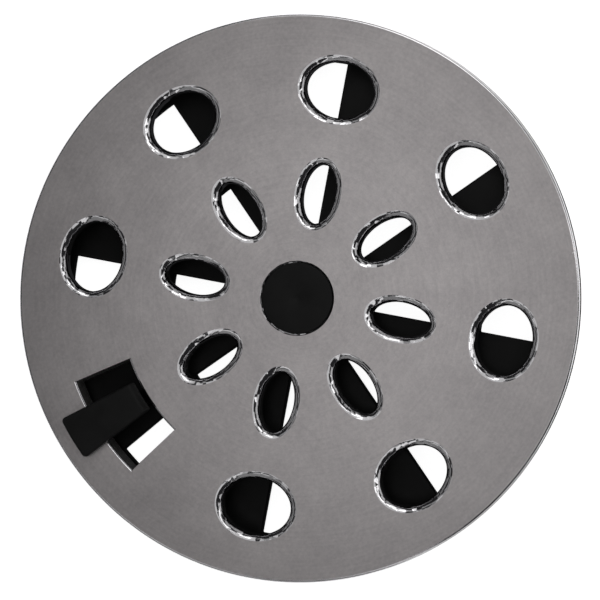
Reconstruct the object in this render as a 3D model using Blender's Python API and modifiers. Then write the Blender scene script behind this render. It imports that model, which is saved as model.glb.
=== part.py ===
"""Floor drain grate with a rotary shutter.

A chromed cast plate carries a ring of oval holes and a ring of petal-shaped holes. A black plastic
shutter turns under it on a headed pin, and a thumb lever reaches up through a slot to turn it.

Metres, +Z up. The origin is on the plate's axis, level with the bottom of the spigot. +X runs
through the lever slot, midway between the ovals on either side of it. Heights are given from the face, as depths below it.
"""

import math

import bmesh
import bpy

MM = 0.001

# Plate
HEIGHT = 13.4 * MM            # from the bottom of the spigot up to the face
PLATE_RADIUS = 50.0 * MM
FLANGE_THICKNESS = 2.6 * MM
FACE_EDGE_RADIUS = 0.5 * MM
SPIGOT_OUTER_RADIUS = 46.5 * MM
SPIGOT_INNER_RADIUS = 44.5 * MM
SPIGOT_CHAMFER = 0.3 * MM
WALL = 1.2 * MM               # thickness of the collars around the holes and the slot
COLLAR_DEPTH = 3.6 * MM       # how far the collars around the holes reach below the face
SLOT_COLLAR_DEPTH = 6.4 * MM
BOSS_DEPTH = 7.4 * MM
RIB_THICKNESS = 1.6 * MM
RIB_DEPTH = 6.4 * MM
BOSS_RADIUS = 8.7 * MM

# Holes
SECTORS = 8
PITCH = math.radians(360.0 / SECTORS)
OVAL_RING_RADIUS = 37.33 * MM
OVAL_TANGENTIAL = 6.15 * MM   # semi-axes of the straight wall
OVAL_RADIAL = 4.93 * MM
PETAL_RING_RADIUS = 18.69 * MM
PETAL_TANGENTIAL = 2.95 * MM
PETAL_RADIAL = 5.27 * MM
HOLE_EDGE_RADIUS = 1.2 * MM   # rounding from the wall out onto the face

# Lever slot: its sides open slightly less than radially
SLOT_INNER_RADIUS = 32.0 * MM
SLOT_OUTER_RADIUS = 42.3 * MM
SLOT_INNER_ANGLES = (math.radians(-14.0), math.radians(13.0))
SLOT_OUTER_ANGLES = (math.radians(-13.15), math.radians(12.1))

# Pivot pin
PIN_HEAD_RADIUS = 6.3 * MM
PIN_HEAD_THICKNESS = 2.2 * MM
PIN_RADIUS = 4.0 * MM
PIN_END_DEPTH = 10.0 * MM
PIN_PILOT_RADIUS = 2.15 * MM
PIN_PILOT_END_DEPTH = 4.0 * MM
PIN_EDGE_CHAMFER = 0.15 * MM
GATE_DIMPLE_RADIUS = 0.7 * MM
GATE_DIMPLE_DEPTH = 0.12 * MM

# Running and seating gaps
SEAT_GAP = 0.25 * MM
BORE_GAP = 0.3 * MM
STACK_GAP = 0.2 * MM

# Shutter
SHUTTER_TOP_DEPTH = BOSS_DEPTH + STACK_GAP
SHUTTER_THICKNESS = 2.6 * MM
SHUTTER_RADIUS = 44.0 * MM
SHUTTER_EDGE_CHAMFER = 0.25 * MM
OUTER_WINDOW_RADII = (31.8 * MM, 42.2 * MM)
INNER_WINDOW_RADII = (11.3 * MM, 23.9 * MM)
BLADE_LEADING = math.radians(0.84)       # a blade's edge, counted from the middle of its hole
BLADE_TRAILING = math.radians(-24.16)
LEVER_BLADE_LEADING = math.radians(5.8)  # the blade under the slot is wider
LEVER_BLADE_TRAILING = math.radians(-25.8)
RECESS_RADIUS = 7.6 * MM
RECESS_HEIGHT = 1.2 * MM

# Thumb lever
LEVER_LIFT = 0.3 * MM         # gap between the tab and the face
LEVER_THICKNESS = 1.9 * MM
LEVER_INNER_RADIUS = 32.6 * MM
LEVER_OUTER_RADIUS = 47.15 * MM
LEVER_START = math.radians(-6.6)
LEVER_END = math.radians(3.25)
LEVER_EDGE_RADIUS = 0.35 * MM
LEVER_CORNER_RADIUS = 0.7 * MM
STEM_ANGLE = (LEVER_START + LEVER_END) / 2
STEM_INNER_RADIUS = 33.2 * MM
STEM_LENGTH = 8.0 * MM
STEM_HALF_THICKNESS = 1.2 * MM
STEM_END_DEPTH = 11.7 * MM
BARB_REACH = 0.6 * MM
BARB_TAPER = 0.9 * MM
SLIT_HALF_WIDTH = 0.4 * MM
SLIT_TOP_DEPTH = 8.2 * MM

# Washers and screw
WASHER_OUTER_RADIUS = 7.0 * MM
WAVE_INNER_RADIUS = 4.6 * MM
WAVE_THICKNESS = 0.3 * MM
WAVE_AMPLITUDE = 0.25 * MM
WAVE_COUNT = 3
WAVE_MID_DEPTH = 9.65 * MM
FLAT_WASHER_TOP_DEPTH = 10.3 * MM
FLAT_WASHER_THICKNESS = 0.8 * MM
FLAT_WASHER_BORE_RADIUS = 2.3 * MM
SCREW_HEAD_TOP_DEPTH = 11.3 * MM
SCREW_HEAD_RADIUS = 3.6 * MM
SCREW_HEAD_HEIGHT = 1.7 * MM
SCREW_RADIUS = 1.9 * MM
SCREW_END_DEPTH = 4.6 * MM
DRIVE_HALF_LENGTH = 1.9 * MM
DRIVE_HALF_WIDTH = 0.45 * MM
DRIVE_DEPTH = 1.0 * MM

# Facets
PLATE_STEPS = 72
SHUTTER_STEPS = 72
PIN_STEPS = 36
WASHER_STEPS = 36
OVAL_STEPS = 28
PETAL_STEPS = 24
FILLET_STEPS = 2
ARC_STEP = math.radians(5.0)

CUT_MARGIN = 1.0 * MM
EMBED = 0.8 * MM              # how deep joined shapes reach into each other
WELD_DISTANCE = 0.000001

SATIN_CHROME = ((0.32, 0.30, 0.295, 1.0), 0.38, 1.0)
BLACK_PLASTIC = ((0.012, 0.012, 0.012, 1.0), 0.45, 0.0)
STAINLESS = ((0.46, 0.46, 0.47, 1.0), 0.30, 1.0)


def height_at(depth):
    """World height of a point that lies this far below the face."""
    return HEIGHT - depth


def clear_scene():
    for item in list(bpy.data.objects):
        bpy.data.objects.remove(item, do_unlink=True)


def new_collection(name):
    collection = bpy.data.collections.new(name)
    bpy.context.scene.collection.children.link(collection)
    return collection


def finish_material(name, look):
    colour, roughness, metallic = look
    material = bpy.data.materials.new(name)
    material.use_nodes = True
    shader = material.node_tree.nodes["Principled BSDF"]
    shader.inputs["Base Color"].default_value = colour
    shader.inputs["Roughness"].default_value = roughness
    shader.inputs["Metallic"].default_value = metallic
    return material


def add_object(name, mesh, collection, look=None):
    thing = bpy.data.objects.new(name, mesh)
    collection.objects.link(thing)
    if look is not None:
        mesh.materials.append(finish_material(name + "_finish", look))
    return thing


def add_cutter(name, mesh, collection):
    """A shape that is cut from a part or joined to it, and isn't a part itself."""
    cutter = add_object(name, mesh, collection)
    cutter.hide_render = True
    cutter.display_type = "WIRE"
    return cutter


def mesh_from(name, bm):
    bmesh.ops.recalc_face_normals(bm, faces=bm.faces[:])
    mesh = bpy.data.meshes.new(name)
    bm.to_mesh(mesh)
    bm.free()
    return mesh


def boolean(target, operand, operation):
    modifier = target.modifiers.new(operation.lower() + "_" + operand.name, "BOOLEAN")
    modifier.operation = operation
    modifier.solver = "EXACT"
    modifier.object = operand


def turned_mesh(name, profile, closed=False):
    """Half-section of a turned shape, as (radius, depth) corners down its outer side."""
    bm = bmesh.new()
    corners = [bm.verts.new((radius, 0.0, height_at(depth))) for radius, depth in profile]
    for first, second in zip(corners, corners[1:]):
        bm.edges.new((first, second))
    if closed:
        bm.edges.new((corners[-1], corners[0]))
    mesh = bpy.data.meshes.new(name)
    bm.to_mesh(mesh)
    bm.free()
    return mesh


def turn(thing, steps):
    screw = thing.modifiers.new("turn", "SCREW")
    screw.axis = "Z"
    screw.angle = math.tau
    screw.steps = steps
    screw.render_steps = steps
    screw.use_merge_vertices = True
    screw.merge_threshold = WELD_DISTANCE
    screw.use_smooth_shade = True


def shade_round(thing):
    """Smooth shading that stays sharp across real edges, as the last modifier's result."""
    evaluated = thing.evaluated_get(bpy.context.evaluated_depsgraph_get())
    mesh = bpy.data.meshes.new_from_object(evaluated)
    mesh.shade_smooth()
    mesh.set_sharp_from_angle(angle=math.radians(35.0))
    thing.modifiers.clear()
    thing.data = mesh


def quarter_round(centre_radius, centre_depth, radius, start, steps):
    """Points of a quarter circle in a turned section; start 90 is its top, 0 its outer side."""
    points = []
    for step in range(steps + 1):
        angle = math.radians(start - 90.0 * step / steps)
        points.append((centre_radius + radius * math.cos(angle), centre_depth - radius * math.sin(angle)))
    return points


def placed(point, angle):
    """A point given along a radius and across it, turned to the angle of that radius."""
    along, across = point
    x = along * math.cos(angle) - across * math.sin(angle)
    y = along * math.sin(angle) + across * math.cos(angle)
    return (x, y)


def oval_outline(ring_radius, angle, radial, tangential, offset, steps):
    """Ellipse centred on a ring, grown evenly by an offset."""
    points = []
    for step in range(steps):
        turn_angle = math.tau * step / steps
        normal_along = tangential * math.cos(turn_angle)
        normal_across = radial * math.sin(turn_angle)
        length = math.hypot(normal_along, normal_across)
        along = ring_radius + radial * math.cos(turn_angle) + offset * normal_along / length
        across = tangential * math.sin(turn_angle) + offset * normal_across / length
        points.append(placed((along, across), angle))
    return points


def arc_points(radius, start, end):
    count = max(2, math.ceil(abs(end - start) / ARC_STEP))
    angles = [start + (end - start) * step / count for step in range(count + 1)]
    return [(radius * math.cos(angle), radius * math.sin(angle)) for angle in angles]


def sector_outline(radii, inner_angles, outer_angles):
    """Part of a ring between two radii, with its own pair of angles at each."""
    inner = arc_points(radii[0], inner_angles[0], inner_angles[1])
    outer = arc_points(radii[1], outer_angles[0], outer_angles[1])
    return outer + inner[::-1]


def add_loft(bm, outlines):
    """Closed solid through outlines of equal count, each with its depth, with flat ends."""
    rings = []
    for outline, depth in outlines:
        rings.append([bm.verts.new((x, y, height_at(depth))) for x, y in outline])
    for lower, upper in zip(rings, rings[1:]):
        for index in range(len(lower)):
            following = (index + 1) % len(lower)
            bm.faces.new((lower[index], lower[following], upper[following], upper[index]))
    bm.faces.new(rings[0][::-1])
    bm.faces.new(rings[-1])


def add_prism(bm, outline, top_depth, bottom_depth):
    add_loft(bm, [(outline, bottom_depth), (outline, top_depth)])


def hole_places():
    """Every oval and petal, as (ring radius, angle, radial, tangential, steps)."""
    places = []
    for sector in range(SECTORS):
        angle = sector * PITCH
        if sector > 0:
            places.append((OVAL_RING_RADIUS, angle, OVAL_RADIAL, OVAL_TANGENTIAL, OVAL_STEPS))
        places.append((PETAL_RING_RADIUS, angle, PETAL_RADIAL, PETAL_TANGENTIAL, PETAL_STEPS))
    return places


def hole_outline(place, offset):
    ring_radius, angle, radial, tangential, steps = place
    return oval_outline(ring_radius, angle, radial, tangential, offset, steps)


def flared_levels():
    """(depth, growth) of a hole cutter from its foot up through the rounded edge."""
    levels = [(BOSS_DEPTH + CUT_MARGIN, 0.0)]
    for step in range(FILLET_STEPS + 1):
        angle = math.radians(90.0 * step / FILLET_STEPS)
        depth = HOLE_EDGE_RADIUS * (1.0 - math.sin(angle))
        growth = HOLE_EDGE_RADIUS * (1.0 - math.cos(angle))
        levels.append((depth, growth))
    (depth_before, growth_before), (depth_last, growth_last) = levels[-2:]
    levels[-1] = (2.0 * depth_last - depth_before, 2.0 * growth_last - growth_before)
    return levels


def plate_blank():
    """Flange and spigot, turned in one."""
    spigot_end = HEIGHT
    profile = [(0.0, 0.0)]
    edge_centre = PLATE_RADIUS - FACE_EDGE_RADIUS
    profile += quarter_round(edge_centre, FACE_EDGE_RADIUS, FACE_EDGE_RADIUS, 90.0, 3)
    profile += [
        (PLATE_RADIUS, FLANGE_THICKNESS),
        (SPIGOT_OUTER_RADIUS, FLANGE_THICKNESS),
        (SPIGOT_OUTER_RADIUS, spigot_end - SPIGOT_CHAMFER),
        (SPIGOT_OUTER_RADIUS - SPIGOT_CHAMFER, spigot_end),
        (SPIGOT_INNER_RADIUS + SPIGOT_CHAMFER, spigot_end),
        (SPIGOT_INNER_RADIUS, spigot_end - SPIGOT_CHAMFER),
        (SPIGOT_INNER_RADIUS, FLANGE_THICKNESS),
        (0.0, FLANGE_THICKNESS),
    ]
    return turned_mesh("grate_plate", profile)


def widened(angles, margin):
    return (angles[0] - margin, angles[1] + margin)


def slot_outline(growth):
    """The lever slot's outline, grown evenly all round."""
    inner_radius = SLOT_INNER_RADIUS - growth
    outer_radius = SLOT_OUTER_RADIUS + growth
    inner = widened(SLOT_INNER_ANGLES, growth / inner_radius)
    outer = widened(SLOT_OUTER_ANGLES, growth / outer_radius)
    return sector_outline((inner_radius, outer_radius), inner, outer)


def plate_walls():
    """Collars around the holes and the slot, and the boss around the pin."""
    bm = bmesh.new()
    top = FLANGE_THICKNESS - EMBED
    for place in hole_places():
        add_prism(bm, hole_outline(place, WALL), top, COLLAR_DEPTH)
    add_prism(bm, slot_outline(WALL), top, SLOT_COLLAR_DEPTH)
    add_prism(bm, arc_points(BOSS_RADIUS, 0.0, math.tau)[:-1], top, BOSS_DEPTH)
    return mesh_from("walls", bm)


def plate_ribs():
    """Radial ribs from the boss to the spigot, midway between the holes."""
    bm = bmesh.new()
    inner = BOSS_RADIUS - EMBED
    outer = SPIGOT_INNER_RADIUS + EMBED
    half = RIB_THICKNESS / 2
    corners = [(inner, -half), (outer, -half), (outer, half), (inner, half)]
    for sector in range(SECTORS):
        angle = (sector + 0.5) * PITCH
        outline = [placed(corner, angle) for corner in corners]
        add_prism(bm, outline, FLANGE_THICKNESS - EMBED, RIB_DEPTH)
    return mesh_from("ribs", bm)


def hole_cutters():
    bm = bmesh.new()
    for place in hole_places():
        add_loft(bm, [(hole_outline(place, growth), depth) for depth, growth in flared_levels()])
    return mesh_from("holes", bm)


def slot_cutter():
    bm = bmesh.new()
    add_prism(bm, slot_outline(0.0), -CUT_MARGIN, BOSS_DEPTH + CUT_MARGIN)
    return mesh_from("slot", bm)


def pin_seat_profile():
    head = PIN_HEAD_RADIUS + STACK_GAP
    bore = PIN_RADIUS + BORE_GAP
    seat_depth = PIN_HEAD_THICKNESS + SEAT_GAP
    return [
        (0.0, -CUT_MARGIN),
        (head, -CUT_MARGIN),
        (head, seat_depth),
        (bore, seat_depth),
        (bore, BOSS_DEPTH + CUT_MARGIN),
        (0.0, BOSS_DEPTH + CUT_MARGIN),
    ]


def make_grate_plate(parts, cutters):
    plate = add_object("grate_plate", plate_blank(), parts, SATIN_CHROME)
    turn(plate, PLATE_STEPS)
    boolean(plate, add_cutter("plate_walls", plate_walls(), cutters), "UNION")
    boolean(plate, add_cutter("plate_ribs", plate_ribs(), cutters), "UNION")
    boolean(plate, add_cutter("hole_cutters", hole_cutters(), cutters), "DIFFERENCE")
    boolean(plate, add_cutter("slot_cutter", slot_cutter(), cutters), "DIFFERENCE")
    seat = add_cutter("pin_seat_cutter", turned_mesh("pin_seat", pin_seat_profile()), cutters)
    turn(seat, PIN_STEPS)
    boolean(plate, seat, "DIFFERENCE")
    shade_round(plate)


def make_pivot_pin(parts):
    """Headed pin with a pilot hole for the screw and a moulding dimple in its head."""
    profile = [
        (0.0, GATE_DIMPLE_DEPTH),
        (GATE_DIMPLE_RADIUS / 2, GATE_DIMPLE_DEPTH),
        (GATE_DIMPLE_RADIUS, 0.0),
        (PIN_HEAD_RADIUS - PIN_EDGE_CHAMFER, 0.0),
        (PIN_HEAD_RADIUS, PIN_EDGE_CHAMFER),
        (PIN_HEAD_RADIUS, PIN_HEAD_THICKNESS),
        (PIN_RADIUS, PIN_HEAD_THICKNESS),
        (PIN_RADIUS, PIN_END_DEPTH),
        (PIN_PILOT_RADIUS, PIN_END_DEPTH),
        (PIN_PILOT_RADIUS, PIN_PILOT_END_DEPTH),
        (0.0, PIN_PILOT_END_DEPTH),
    ]
    pin = add_object("pivot_pin", turned_mesh("pivot_pin", profile), parts, BLACK_PLASTIC)
    turn(pin, PIN_STEPS)
    shade_round(pin)


def shutter_profile():
    top = SHUTTER_TOP_DEPTH
    bottom = SHUTTER_TOP_DEPTH + SHUTTER_THICKNESS
    bore = PIN_RADIUS + BORE_GAP
    return [
        (bore, top),
        (SHUTTER_RADIUS - SHUTTER_EDGE_CHAMFER, top),
        (SHUTTER_RADIUS, top + SHUTTER_EDGE_CHAMFER),
        (SHUTTER_RADIUS, bottom - SHUTTER_EDGE_CHAMFER),
        (SHUTTER_RADIUS - SHUTTER_EDGE_CHAMFER, bottom),
        (RECESS_RADIUS, bottom),
        (RECESS_RADIUS, bottom - RECESS_HEIGHT),
        (bore, bottom - RECESS_HEIGHT),
    ]


def window_angles(sector, radii):
    """Angles of the window that follows a sector's blade, up to the next blade."""
    start = sector * PITCH + BLADE_LEADING
    end = (sector + 1) * PITCH + BLADE_TRAILING
    if radii == OUTER_WINDOW_RADII and sector == 0:
        start = LEVER_BLADE_LEADING
    if radii == OUTER_WINDOW_RADII and sector == SECTORS - 1:
        end = math.tau + LEVER_BLADE_TRAILING
    return (start, end)


def shutter_windows():
    bm = bmesh.new()
    bottom = SHUTTER_TOP_DEPTH + SHUTTER_THICKNESS
    for radii in (OUTER_WINDOW_RADII, INNER_WINDOW_RADII):
        for sector in range(SECTORS):
            angles = window_angles(sector, radii)
            outline = sector_outline(radii, angles, angles)
            add_prism(bm, outline, SHUTTER_TOP_DEPTH - CUT_MARGIN, bottom + CUT_MARGIN)
    return mesh_from("windows", bm)


def lever_socket():
    """The square hole that the lever's stem snaps through."""
    bm = bmesh.new()
    inner = STEM_INNER_RADIUS - SEAT_GAP
    outer = STEM_INNER_RADIUS + STEM_LENGTH + SEAT_GAP
    half = STEM_HALF_THICKNESS + SEAT_GAP
    corners = [(inner, -half), (outer, -half), (outer, half), (inner, half)]
    outline = [placed(corner, STEM_ANGLE) for corner in corners]
    bottom = SHUTTER_TOP_DEPTH + SHUTTER_THICKNESS
    add_prism(bm, outline, SHUTTER_TOP_DEPTH - CUT_MARGIN, bottom + CUT_MARGIN)
    return mesh_from("socket", bm)


def make_shutter_disc(parts, cutters):
    shutter = add_object("shutter_disc", turned_mesh("shutter_disc", shutter_profile(), True), parts, BLACK_PLASTIC)
    turn(shutter, SHUTTER_STEPS)
    boolean(shutter, add_cutter("window_cutters", shutter_windows(), cutters), "DIFFERENCE")
    boolean(shutter, add_cutter("socket_cutter", lever_socket(), cutters), "DIFFERENCE")
    shade_round(shutter)


def rounded_corners(outline, rounded, radius, steps=3):
    """Replaces some corners of an outline by arcs that meet its sides."""
    points = []
    for index, (x, y) in enumerate(outline):
        if index not in rounded:
            points.append((x, y))
            continue
        before = outline[index - 1]
        after = outline[(index + 1) % len(outline)]
        start = toward((x, y), before, radius)
        end = toward((x, y), after, radius)
        for step in range(steps + 1):
            share = step / steps
            points.append(blend_corner(start, (x, y), end, share))
    return points


def toward(origin, target, distance):
    length = math.dist(origin, target)
    share = distance / length
    return (origin[0] + (target[0] - origin[0]) * share, origin[1] + (target[1] - origin[1]) * share)


def blend_corner(start, corner, end, share):
    """A point on the smooth curve from start to end that the corner pulls towards itself."""
    weights = ((1.0 - share) ** 2, 2.0 * share * (1.0 - share), share ** 2)
    x = weights[0] * start[0] + weights[1] * corner[0] + weights[2] * end[0]
    y = weights[0] * start[1] + weights[1] * corner[1] + weights[2] * end[1]
    return (x, y)


def tab_outline():
    angles = (LEVER_START, LEVER_END)
    outline = sector_outline((LEVER_INNER_RADIUS, LEVER_OUTER_RADIUS), angles, angles)
    outer_count = len(outline) // 2
    return rounded_corners(outline, (0, outer_count - 1), LEVER_CORNER_RADIUS)


def stem_outline():
    """Section across the split stem and its two barbs, as (across, depth)."""
    half = STEM_HALF_THICKNESS
    ledge = SHUTTER_TOP_DEPTH + SHUTTER_THICKNESS + SEAT_GAP
    top = -LEVER_LIFT - LEVER_THICKNESS / 2
    right = [
        (SLIT_HALF_WIDTH, SLIT_TOP_DEPTH),
        (SLIT_HALF_WIDTH, STEM_END_DEPTH),
        (half + BARB_REACH - BARB_TAPER, STEM_END_DEPTH),
        (half + BARB_REACH, ledge + BARB_REACH / 2),
        (half + BARB_REACH, ledge),
        (half, ledge),
        (half, top),
    ]
    left = [(-across, depth) for across, depth in right[::-1]]
    return right + left


def stem_mesh():
    bm = bmesh.new()
    rings = []
    for along in (STEM_INNER_RADIUS, STEM_INNER_RADIUS + STEM_LENGTH):
        ring = []
        for across, depth in stem_outline():
            x, y = placed((along, across), STEM_ANGLE)
            ring.append(bm.verts.new((x, y, height_at(depth))))
        rings.append(ring)
    near, far = rings
    for index in range(len(near)):
        following = (index + 1) % len(near)
        bm.faces.new((near[index], near[following], far[following], far[index]))
    bm.faces.new(near[::-1])
    bm.faces.new(far)
    return mesh_from("stem", bm)


def make_thumb_lever(parts, cutters):
    """Finger tab over the face, on a split stem that snaps into the shutter."""
    bm = bmesh.new()
    add_prism(bm, tab_outline(), -LEVER_LIFT - LEVER_THICKNESS, -LEVER_LIFT)
    lever = add_object("thumb_lever", mesh_from("thumb_lever", bm), parts, BLACK_PLASTIC)
    rounding = lever.modifiers.new("rounding", "BEVEL")
    rounding.width = LEVER_EDGE_RADIUS
    rounding.segments = 2
    rounding.limit_method = "ANGLE"
    rounding.angle_limit = math.radians(60.0)
    boolean(lever, add_cutter("lever_stem", stem_mesh(), cutters), "UNION")
    shade_round(lever)


def make_wave_washer(parts):
    """Thin ring bent into waves around its axis."""
    bm = bmesh.new()
    rings = []
    for radius in (WAVE_INNER_RADIUS, WASHER_OUTER_RADIUS):
        ring = []
        for step in range(WASHER_STEPS):
            angle = math.tau * step / WASHER_STEPS
            z = height_at(WAVE_MID_DEPTH) + WAVE_AMPLITUDE * math.sin(WAVE_COUNT * angle)
            ring.append(bm.verts.new((radius * math.cos(angle), radius * math.sin(angle), z)))
        rings.append(ring)
    inner, outer = rings
    for index in range(WASHER_STEPS):
        following = (index + 1) % WASHER_STEPS
        bm.faces.new((inner[index], outer[index], outer[following], inner[following]))
    washer = add_object("wave_washer", mesh_from("wave_washer", bm), parts, STAINLESS)
    solidify = washer.modifiers.new("thickness", "SOLIDIFY")
    solidify.thickness = WAVE_THICKNESS
    solidify.offset = 0.0
    shade_round(washer)


def make_flat_washer(parts):
    top = FLAT_WASHER_TOP_DEPTH
    bottom = FLAT_WASHER_TOP_DEPTH + FLAT_WASHER_THICKNESS
    profile = [
        (FLAT_WASHER_BORE_RADIUS, top),
        (WASHER_OUTER_RADIUS, top),
        (WASHER_OUTER_RADIUS, bottom),
        (FLAT_WASHER_BORE_RADIUS, bottom),
    ]
    washer = add_object("flat_washer", turned_mesh("flat_washer", profile, True), parts, STAINLESS)
    turn(washer, WASHER_STEPS)
    shade_round(washer)


def drive_recess():
    """Cross-shaped drive in the screw's head."""
    long_half = DRIVE_HALF_LENGTH
    short_half = DRIVE_HALF_WIDTH
    arm = [(long_half, -short_half), (long_half, short_half), (short_half, short_half)]
    outline = [placed(corner, quarter * math.pi / 2) for quarter in range(4) for corner in arm]
    bm = bmesh.new()
    end = SCREW_HEAD_TOP_DEPTH + SCREW_HEAD_HEIGHT
    add_prism(bm, outline, end - DRIVE_DEPTH, end + CUT_MARGIN)
    return mesh_from("drive", bm)


def make_retaining_screw(parts, cutters):
    """Pan-head screw, driven up into the pin from below."""
    seat = SCREW_HEAD_TOP_DEPTH
    end = SCREW_HEAD_TOP_DEPTH + SCREW_HEAD_HEIGHT
    dome_radius = 0.55 * SCREW_HEAD_HEIGHT
    profile = [
        (0.0, SCREW_END_DEPTH),
        (SCREW_RADIUS / 2, SCREW_END_DEPTH),
        (SCREW_RADIUS, SCREW_END_DEPTH + SCREW_RADIUS / 2),
        (SCREW_RADIUS, seat),
        (SCREW_HEAD_RADIUS, seat),
    ]
    profile += quarter_round(SCREW_HEAD_RADIUS - dome_radius, end - dome_radius, dome_radius, 0.0, 3)
    profile.append((0.0, end))
    screw = add_object("retaining_screw", turned_mesh("retaining_screw", profile), parts, STAINLESS)
    turn(screw, PIN_STEPS)
    boolean(screw, add_cutter("drive_cutter", drive_recess(), cutters), "DIFFERENCE")
    shade_round(screw)


def build():
    clear_scene()
    parts = new_collection("floor_drain_grate")
    cutters = new_collection("cutters")
    make_grate_plate(parts, cutters)
    make_pivot_pin(parts)
    make_shutter_disc(parts, cutters)
    make_thumb_lever(parts, cutters)
    make_wave_washer(parts)
    make_flat_washer(parts)
    make_retaining_screw(parts, cutters)


build()
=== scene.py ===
"""Looks of the floor drain grate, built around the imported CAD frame. Metres, +Z up."""

import math

import bmesh
import bpy
from mathutils import Matrix, Vector


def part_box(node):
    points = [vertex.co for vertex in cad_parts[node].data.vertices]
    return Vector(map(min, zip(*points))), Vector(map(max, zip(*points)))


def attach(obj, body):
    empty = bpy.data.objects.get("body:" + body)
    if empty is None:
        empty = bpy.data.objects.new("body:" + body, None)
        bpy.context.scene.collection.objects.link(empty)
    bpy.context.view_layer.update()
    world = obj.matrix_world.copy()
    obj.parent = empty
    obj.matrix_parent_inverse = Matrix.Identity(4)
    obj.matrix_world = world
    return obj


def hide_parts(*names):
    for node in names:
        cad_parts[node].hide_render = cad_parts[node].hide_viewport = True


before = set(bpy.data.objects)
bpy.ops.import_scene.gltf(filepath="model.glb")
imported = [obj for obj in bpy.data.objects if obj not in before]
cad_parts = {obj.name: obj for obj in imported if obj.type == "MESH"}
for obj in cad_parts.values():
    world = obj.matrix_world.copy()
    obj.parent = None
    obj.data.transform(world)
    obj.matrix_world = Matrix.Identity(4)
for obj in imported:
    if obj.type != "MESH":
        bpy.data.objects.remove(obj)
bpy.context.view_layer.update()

MM = 0.001

# What the frame says
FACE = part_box("grate_plate")[1].z
PLATE_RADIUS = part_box("grate_plate")[1].x
SHUTTER_LOW, SHUTTER_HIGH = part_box("shutter_disc")
LEVER_LOW, LEVER_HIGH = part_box("thumb_lever")
PIN_LOW, PIN_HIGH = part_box("pivot_pin")
WAVE_LOW, WAVE_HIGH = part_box("wave_washer")
WASHER_LOW, WASHER_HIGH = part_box("flat_washer")
SCREW_LOW, SCREW_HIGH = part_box("retaining_screw")

# Plate
FLANGE_THICKNESS = 2.6 * MM
FACE_EDGE_RADIUS = 0.4 * MM
SPIGOT_OUTER_RADIUS = 46.5 * MM
SPIGOT_INNER_RADIUS = 44.5 * MM
SPIGOT_CHAMFER = 0.3 * MM
WALL = 1.2 * MM
COLLAR_DEPTH = 3.6 * MM
SLOT_COLLAR_DEPTH = 6.4 * MM
BOSS_DEPTH = 7.4 * MM
WALL_ROUNDING = 0.25 * MM
RIB_THICKNESS = 1.6 * MM
RIB_DEPTH = 6.4 * MM
RIB_DRAFT = 0.2 * MM
BOSS_RADIUS = 8.7 * MM
CROWN_START = 20.0 * MM
CROWN_DROP = 0.15 * MM
CROWN_RING_RADII = (0.0, 8.0, 16.0, 22.0, 27.0, 31.0, 34.0, 37.0, 40.0, 42.0, 44.0, 45.5, 47.0, 48.3)
# Share of the face colour left at the rim by painted shade
FACE_RIM_PAINTED_SHADE = 0.76
FLAT_NORMAL = 0.999
FACE_DEPTH_LIMIT = 0.6 * MM

# Holes
SECTORS = 8
PITCH = math.tau / SECTORS
OVAL_RING_RADIUS = 37.33 * MM
OVAL_TANGENTIAL = 6.15 * MM
OVAL_RADIAL = 4.93 * MM
PETAL_RING_RADIUS = 18.69 * MM
PETAL_TANGENTIAL = 2.95 * MM
PETAL_RADIAL = 5.27 * MM
HOLE_EDGE_RADIUS = 1.2 * MM
SLOT_RADII = (32.0 * MM, 42.3 * MM)
SLOT_INNER_ANGLES = (math.radians(-14.0), math.radians(13.0))
SLOT_OUTER_ANGLES = (math.radians(-13.15), math.radians(12.1))
SLOT_EDGE = 0.38 * MM
SLOT_SIDE_SHARE = 0.25

# Pin and its seat
PIN_HEAD_RADIUS = PIN_HIGH.x
PIN_HEAD_THICKNESS = 2.2 * MM
PIN_EDGE = 0.15 * MM
GATE_MARK = ((0.0, 0.1 * MM), (0.25 * MM, 0.12 * MM), (0.5 * MM, 0.06 * MM), (0.7 * MM, 0.0))
PIN_RADIUS = 4.0 * MM
PIN_PILOT_RADIUS = 2.15 * MM
PIN_PILOT_END_DEPTH = 4.0 * MM
SEAT_RADIUS = PIN_HEAD_RADIUS + 0.2 * MM
SEAT_DEPTH = PIN_HEAD_THICKNESS + 0.25 * MM
SEAT_EDGE = 0.12 * MM
BORE_RADIUS = PIN_RADIUS + 0.3 * MM

# Shutter
OUTER_WINDOW_RADII = (31.8 * MM, 42.2 * MM)
INNER_WINDOW_RADII = (11.3 * MM, 23.9 * MM)
BLADE_LEADING = math.radians(0.84)
BLADE_TRAILING = math.radians(-24.16)
LEVER_BLADE_LEADING = math.radians(5.8)
LEVER_BLADE_TRAILING = math.radians(-25.8)
WINDOW_CORNER = 0.2 * MM
WINDOW_EDGE = 0.12 * MM
SHUTTER_EDGE = 0.25 * MM
RECESS_RADIUS = 7.6 * MM
RECESS_HEIGHT = 1.2 * MM

# Lever
LEVER_LIFT = 0.3 * MM
LEVER_RADII = (32.6 * MM, 47.15 * MM)
LEVER_ANGLES = (math.radians(-6.6), math.radians(3.25))
LEVER_CORNER = 0.7 * MM
LEVER_SHOULDER = 1.3 * MM
LEVER_EDGE = 0.35 * MM
CORNER_TURN = 1.0
SHARP_TURN = math.radians(50.0)
SHOULDER_TOLERANCE = 0.05 * MM
STEM_ANGLE = sum(LEVER_ANGLES) / 2
STEM_INNER_RADIUS = 33.2 * MM
STEM_LENGTH = 8.0 * MM
STEM_HALF_THICKNESS = 1.2 * MM
SOCKET_GAP = 0.25 * MM
BARB_REACH = 0.6 * MM
BARB_TAPER = 0.9 * MM
SLIT_HALF_WIDTH = 0.4 * MM
SLIT_TOP_DEPTH = 8.2 * MM

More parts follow.
